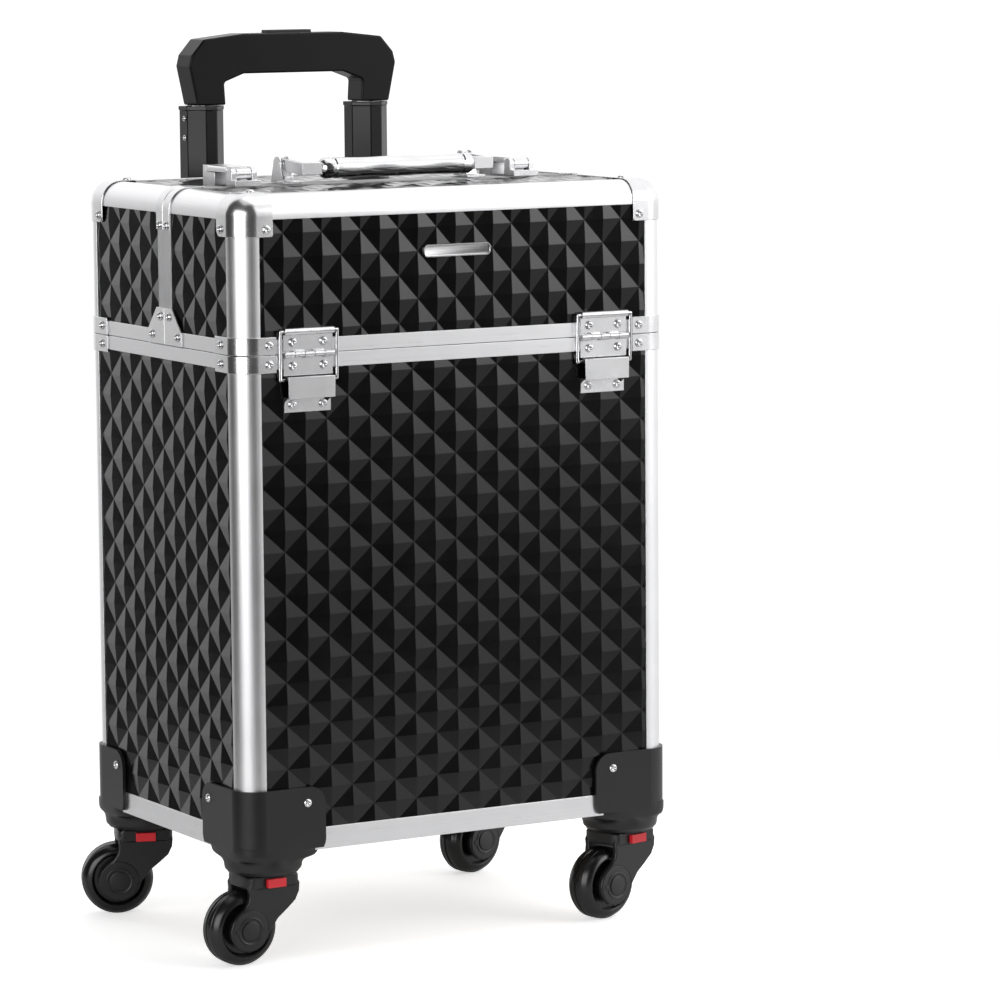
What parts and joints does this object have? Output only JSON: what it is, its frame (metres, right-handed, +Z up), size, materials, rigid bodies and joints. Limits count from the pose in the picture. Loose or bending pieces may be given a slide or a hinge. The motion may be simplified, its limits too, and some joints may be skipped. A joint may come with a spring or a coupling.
{
  "type": "rolling makeup case",
  "caption": "Hard-sided rolling makeup case with aluminium edges, split top, front stay hinges, top latches, carry handle, telescopic handle and swivel casters.",
  "frame": {"origin": "on the floor, under the middle of the case", "axes": "+Z up, +Y towards the telescopic handle at the back, +X towards the right-hand side seen from the front"},
  "size_m": [0.3642, 0.2729, 0.6366],
  "materials": {
    "black_panel": "glossy embossed",
    "board": "plain board",
    "satin_aluminium": "satin anodised",
    "bright_steel": "nickel plated",
    "plain_steel": "satin",
    "grey_metal": "satin grey",
    "plate_metal": "brushed",
    "black_plastic": "satin",
    "wheel_rubber": "smooth",
    "red_plastic": "glossy",
    "dark_lining": "soft lining"
  },
  "bodies": {
    "case": {"base_rails": "satin_aluminium", "body_rivets": "bright_steel", "caster_housings": "black_plastic", "latch_lock_bodies": "bright_steel", "lower_corner_posts": "satin_aluminium", "lower_floor_panel": "board", "lower_lining": "dark_lining", "lower_rim_rails": "satin_aluminium", "lower_seam_brackets": "bright_steel", "lower_wall_panels": "black_panel", "rear_brackets": "bright_steel", "rear_corner_caps": "bright_steel", "rear_corner_posts": "satin_aluminium", "rear_lining": "dark_lining", "rear_seam_rails": "satin_aluminium", "rear_split_strip": "satin_aluminium", "rear_tie_plates": "plain_steel", "rear_top_panel": "black_panel", "rear_top_rails": "satin_aluminium", "rear_wall_panels": "black_panel", "stay_channels": "bright_steel", "stay_lower_leaves": "bright_steel", "trolley_bushes": "black_plastic", "trolley_clamps": "plain_steel", "trolley_outer_tubes": "grey_metal"},
    "front_half": {"front_brackets": "bright_steel", "front_corner_caps": "bright_steel", "front_corner_posts": "satin_aluminium", "front_lining": "dark_lining", "front_rivets": "bright_steel", "front_seam_rails": "satin_aluminium", "front_split_strip": "satin_aluminium", "front_top_panel": "black_panel", "front_top_rails": "satin_aluminium", "front_wall_panels": "black_panel", "handle_lugs": "bright_steel", "latch_hinge_bases": "bright_steel", "name_plate": "plate_metal", "stay_upper_leaves": "bright_steel"},
    "stay_wires": {"stay_wires": "bright_steel"},
    "carry_handle": {"handle_arms": "bright_steel", "handle_grip": "bright_steel"},
    "latch_left": {"latch_hasp_left": "bright_steel"},
    "latch_right": {"latch_hasp_right": "bright_steel"},
    "trolley_handle": {"trolley_inner_tubes": "grey_metal", "trolley_grip": "black_plastic"},
    "trolley_button": {"trolley_button": "black_plastic"},
    "fork_front_left": {"caster_fork_front_left": "black_plastic"},
    "wheel_front_left": {"caster_wheel_front_left": "wheel_rubber"},
    "release_front_left": {"caster_release_front_left": "red_plastic"},
    "fork_front_right": {"caster_fork_front_right": "black_plastic"},
    "wheel_front_right": {"caster_wheel_front_right": "wheel_rubber"},
    "release_front_right": {"caster_release_front_right": "red_plastic"},
    "fork_rear_left": {"caster_fork_rear_left": "black_plastic"},
    "wheel_rear_left": {"caster_wheel_rear_left": "wheel_rubber"},
    "release_rear_left": {"caster_release_rear_left": "red_plastic"},
    "fork_rear_right": {"caster_fork_rear_right": "black_plastic"},
    "wheel_rear_right": {"caster_wheel_rear_right": "wheel_rubber"},
    "release_rear_right": {"caster_release_rear_right": "red_plastic"}
  },
  "joints": [
    {"name": "front_half_hinge", "type": "hinge", "parent": "case", "child": "front_half", "pos_m": [0, -0.123, 0.4232], "axis": [1, 0, 0], "range_deg": [0, 90]},
    {"name": "stay_wire_swing", "type": "hinge", "parent": "front_half", "child": "stay_wires", "pos_m": [0, -0.1224, 0.4387], "axis": [1, 0, 0], "range_deg": [-62, 0]},
    {"name": "carry_handle_hinge", "type": "hinge", "parent": "front_half", "child": "carry_handle", "pos_m": [0, -0.002, 0.5455], "axis": [-1, 0, 0], "range_deg": [0, 100]},
    {"name": "latch_left_hinge", "type": "hinge", "parent": "front_half", "child": "latch_left", "pos_m": [-0.112, -0.014, 0.5405], "axis": [1, 0, 0], "range_deg": [0, 110]},
    {"name": "latch_right_hinge", "type": "hinge", "parent": "front_half", "child": "latch_right", "pos_m": [0.112, -0.014, 0.5405], "axis": [1, 0, 0], "range_deg": [0, 110]},
    {"name": "trolley_slide", "type": "slide", "parent": "case", "child": "trolley_handle", "axis": [0, 0, 1], "range_m": [0, 0.38]},
    {"name": "trolley_button_press", "type": "slide", "parent": "trolley_handle", "child": "trolley_button", "axis": [0, 0, -1], "range_m": [0, 0.004], "stiffness_N_per_m": 400, "springref_m": -0.003},
    {"name": "swivel_front_left", "type": "hinge", "parent": "case", "child": "fork_front_left", "pos_m": [-0.1446, -0.096, 0.06], "axis": [0, 0, 1], "continuous": true},
    {"name": "wheel_spin_front_left", "type": "hinge", "parent": "fork_front_left", "child": "wheel_front_left", "pos_m": [-0.16409, -0.09671, 0.026], "axis": [0.0366, -0.9993, 0], "continuous": true},
    {"name": "release_press_front_left", "type": "slide", "parent": "fork_front_left", "child": "release_front_left", "axis": [-0.0366, 0.9993, 0], "range_m": [0, 0.002], "stiffness_N_per_m": 300, "springref_m": -0.002},
    {"name": "swivel_front_right", "type": "hinge", "parent": "case", "child": "fork_front_right", "pos_m": [0.1446, -0.096, 0.06], "axis": [0, 0, 1], "continuous": true},
    {"name": "wheel_spin_front_right", "type": "hinge", "parent": "fork_front_right", "child": "wheel_front_right", "pos_m": [0.12562, -0.10049, 0.026], "axis": [0.23, -0.9732, 0], "continuous": true},
    {"name": "release_press_front_right", "type": "slide", "parent": "fork_front_right", "child": "release_front_right", "axis": [-0.23, 0.9732, 0], "range_m": [0, 0.002], "stiffness_N_per_m": 300, "springref_m": -0.002},
    {"name": "swivel_rear_left", "type": "hinge", "parent": "case", "child": "fork_rear_left", "pos_m": [-0.1446, 0.096, 0.06], "axis": [0, 0, 1], "continuous": true},
    {"name": "wheel_spin_rear_left", "type": "hinge", "parent": "fork_rear_left", "child": "wheel_rear_left", "pos_m": [-0.16296, 0.10257, 0.026], "axis": [-0.3371, -0.9415, 0], "continuous": true},
    {"name": "release_press_rear_left", "type": "slide", "parent": "fork_rear_left", "child": "release_rear_left", "axis": [0.3371, 0.9415, 0], "range_m": [0, 0.002], "stiffness_N_per_m": 300, "springref_m": -0.002},
    {"name": "swivel_rear_right", "type": "hinge", "parent": "case", "child": "fork_rear_right", "pos_m": [0.1446, 0.096, 0.06], "axis": [0, 0, 1], "continuous": true},
    {"name": "wheel_spin_rear_right", "type": "hinge", "parent": "fork_rear_right", "child": "wheel_rear_right", "pos_m": [0.12578, 0.09089, 0.026], "axis": [0.2622, -0.965, 0], "continuous": true},
    {"name": "release_press_rear_right", "type": "slide", "parent": "fork_rear_right", "child": "release_rear_right", "axis": [-0.2622, 0.965, 0], "range_m": [0, 0.002], "stiffness_N_per_m": 300, "springref_m": -0.002}
  ],
  "couplings": [
    {"joint": "stay_wire_swing", "follows": "front_half_hinge", "ratio": -0.67379}
  ]
}
